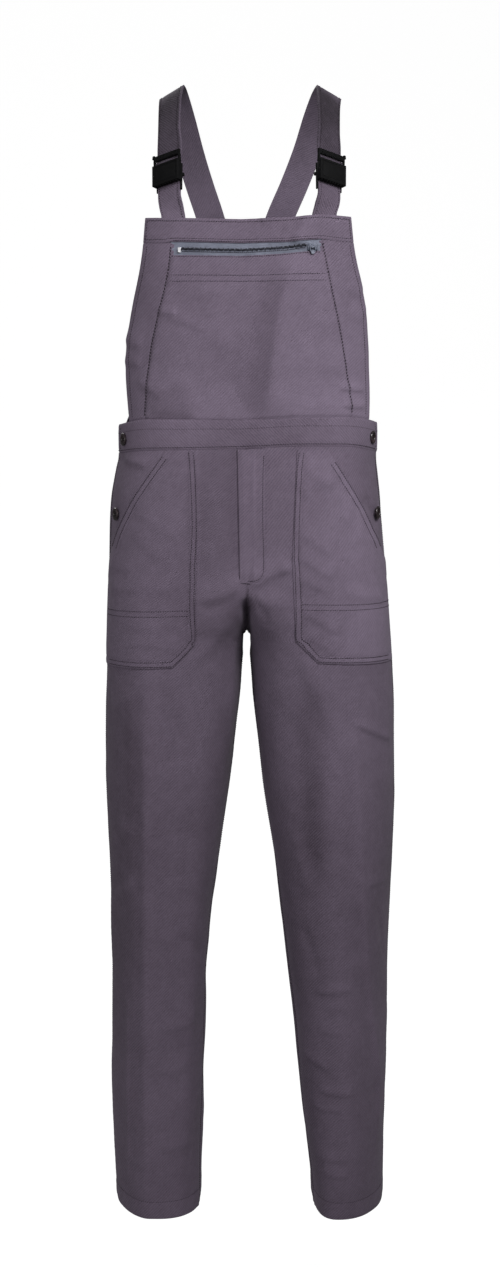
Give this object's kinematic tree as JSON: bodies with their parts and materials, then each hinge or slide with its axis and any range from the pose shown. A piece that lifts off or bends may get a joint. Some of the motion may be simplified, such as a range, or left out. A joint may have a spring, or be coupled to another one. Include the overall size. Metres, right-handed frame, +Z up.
{
  "type": "bib overalls",
  "caption": "Bib overalls in worn shape with no wearer: hollow legs, bib with zipped pocket, patch pockets, fly flap, side buttons and buckled shoulder straps.",
  "frame": {"origin": "midway between the two shoulder straps, level with their tops and above the side seams", "axes": "+Z up along the wearer's height, -Y the way the wearer faces, +X to the wearer's left"},
  "size_m": [0.3915, 0.2507, 1.5089],
  "materials": {
    "cloth": "purple-grey twill",
    "zip_tape": "blue-grey woven tape",
    "zip_coil": "dark coil",
    "zip_metal": "grey lacquer",
    "zip_stop": "bright",
    "buckle_plastic": "black",
    "button_plastic": "dark brown"
  },
  "bodies": {
    "garment": {"trouser_front_left": "cloth", "trouser_front_right": "cloth", "trouser_back_left": "cloth", "trouser_back_right": "cloth", "patch_pocket_left": "cloth", "patch_pocket_right": "cloth", "fly_flap": "cloth", "waistband_front": "cloth", "waistband_back": "cloth", "bib_top_band": "cloth", "bib_centre": "cloth", "bib_side_left": "cloth", "bib_side_right": "cloth", "back_yoke": "cloth", "strap_left": "cloth", "strap_right": "cloth", "strap_tab_left": "cloth", "strap_tab_right": "cloth", "zip_tape_upper": "zip_tape", "zip_tape_lower": "zip_tape", "zip_coil": "zip_coil", "zip_slider": "zip_metal", "zip_end_stop": "zip_stop", "buckle_socket_left": "buckle_plastic", "buckle_socket_right": "buckle_plastic", "buckle_ladder_left": "buckle_plastic", "buckle_ladder_right": "buckle_plastic", "button_waist_left": "button_plastic", "button_waist_right": "button_plastic", "button_side_left": "button_plastic", "button_side_right": "button_plastic"},
    "pull": {"zip_pull": "zip_metal"}
  },
  "joints": [
    {"name": "zip_pull_swing", "type": "hinge", "parent": "garment", "child": "pull", "pos_m": [0.08055, -0.11437, -0.20836], "axis": [-0.9934, -0.115, 0], "range_deg": [0, 170]}
  ]
}
